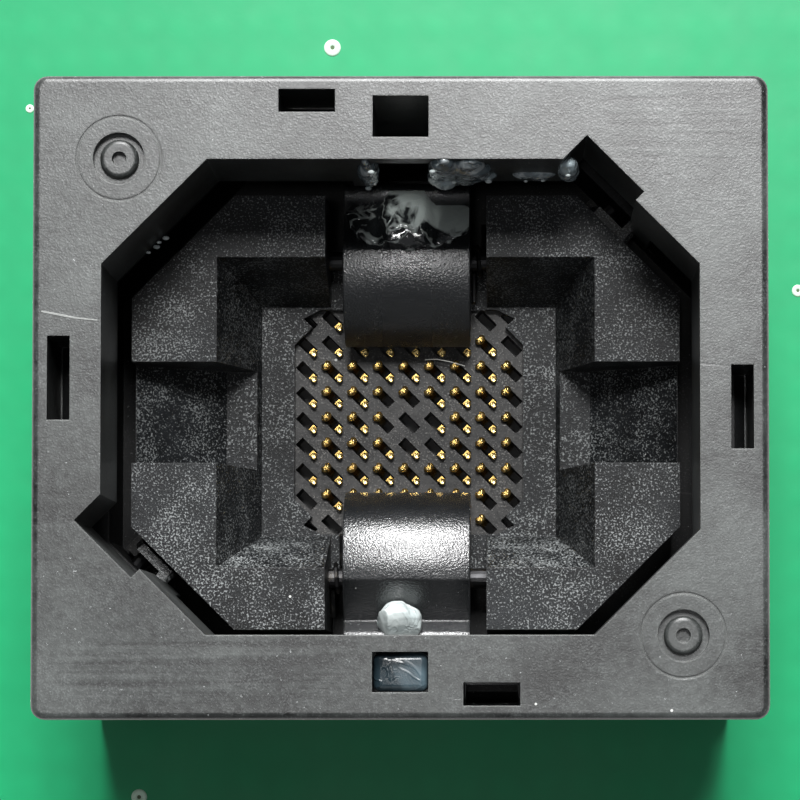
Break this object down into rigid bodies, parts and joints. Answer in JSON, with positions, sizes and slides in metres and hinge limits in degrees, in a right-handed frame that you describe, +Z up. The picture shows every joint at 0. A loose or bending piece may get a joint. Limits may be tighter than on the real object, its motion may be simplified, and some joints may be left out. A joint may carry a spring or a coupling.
{
  "type": "bga programmer adapter",
  "caption": "Press-to-open socket adapter: a sprung cover swings latches and shifts a slotted plate to open pinch contacts for a ball-grid package, on a board with plug-in pin headers",
  "frame": {"origin": "centre of the socket and board, level with the tips of the header pins", "axes": "+X along the board's long side to the right of the picture, +Y to the top of the picture, +Z up"},
  "size_m": [0.039, 0.033, 0.0262],
  "materials": {
    "green_board": "glossy green solder mask",
    "header_plastic": "plain black moulded",
    "black_cover_plastic": "satin black moulded, faintly scratched",
    "filled_nest_plastic": "black moulded with pale filler specks",
    "latch_plastic": "semi-gloss black moulded with filler specks",
    "slider_plastic": "brownish black moulded",
    "spring_steel": "drawn wire and rod",
    "clear_glue": "cloudy clear glue"
  },
  "bodies": {
    "adapter_base": {"pcb_board": "green_board", "pin_header_left": "header_plastic", "pin_header_right": "header_plastic", "base_housing": "black_cover_plastic", "contact_block": "black_cover_plastic", "package_nest": "filled_nest_plastic", "latch_pin_north": "spring_steel", "latch_pin_south": "spring_steel", "lever_pin_ne": "spring_steel", "lever_pin_sw": "spring_steel", "return_spring_ne": "spring_steel", "return_spring_nw": "spring_steel", "return_spring_se": "spring_steel", "return_spring_sw": "spring_steel", "latch_spring_north": "spring_steel", "latch_spring_south": "spring_steel"},
    "press_cover": {"cover_frame": "black_cover_plastic", "glue_window": "clear_glue"},
    "north_latch_body": {"latch_north": "latch_plastic", "glue_latch_north": "clear_glue"},
    "south_latch_body": {"latch_south": "latch_plastic", "glue_latch_south": "clear_glue"},
    "slotted_slider": {"slider_plate": "slider_plastic"},
    "ne_lever_body": {"lever_ne": "latch_plastic"},
    "sw_lever_body": {"lever_sw": "latch_plastic"}
  },
  "joints": [
    {"name": "cover_press", "type": "slide", "parent": "adapter_base", "child": "press_cover", "axis": [0, 0, -1], "range_m": [0, 0.0024], "stiffness_N_per_m": 2000, "springref_m": -0.002, "deforming": ["return_spring_ne", "return_spring_nw", "return_spring_se", "return_spring_sw"]},
    {"name": "latch_north_swing", "type": "hinge", "parent": "adapter_base", "child": "north_latch_body", "pos_m": [0, 0.0049, 0.01802], "axis": [-1, 0, 0], "range_deg": [0, 65]},
    {"name": "latch_south_swing", "type": "hinge", "parent": "adapter_base", "child": "south_latch_body", "pos_m": [0, -0.0049, 0.01802], "axis": [1, 0, 0], "range_deg": [0, 65]},
    {"name": "slider_shift", "type": "slide", "parent": "adapter_base", "child": "slotted_slider", "axis": [0.7071, -0.7071, 0], "range_m": [0, 0.0002]},
    {"name": "lever_ne_tilt", "type": "hinge", "parent": "adapter_base", "child": "ne_lever_body", "pos_m": [0.00587, 0.00615, 0.0177], "axis": [-0.7071, -0.7071, 0], "range_deg": [0, 8]},
    {"name": "lever_sw_tilt", "type": "hinge", "parent": "adapter_base", "child": "sw_lever_body", "pos_m": [-0.00795, -0.00407, 0.0177], "axis": [-0.7071, -0.7071, 0], "range_deg": [0, 8]}
  ],
  "couplings": [
    {"joint": "latch_north_swing", "follows": "cover_press", "rad_per_m": 472.65},
    {"joint": "latch_south_swing", "follows": "cover_press", "rad_per_m": 472.65},
    {"joint": "slider_shift", "follows": "cover_press", "ratio": 0.083325},
    {"joint": "lever_ne_tilt", "follows": "cover_press", "rad_per_m": 58.172},
    {"joint": "lever_sw_tilt", "follows": "cover_press", "rad_per_m": 58.172}
  ]
}
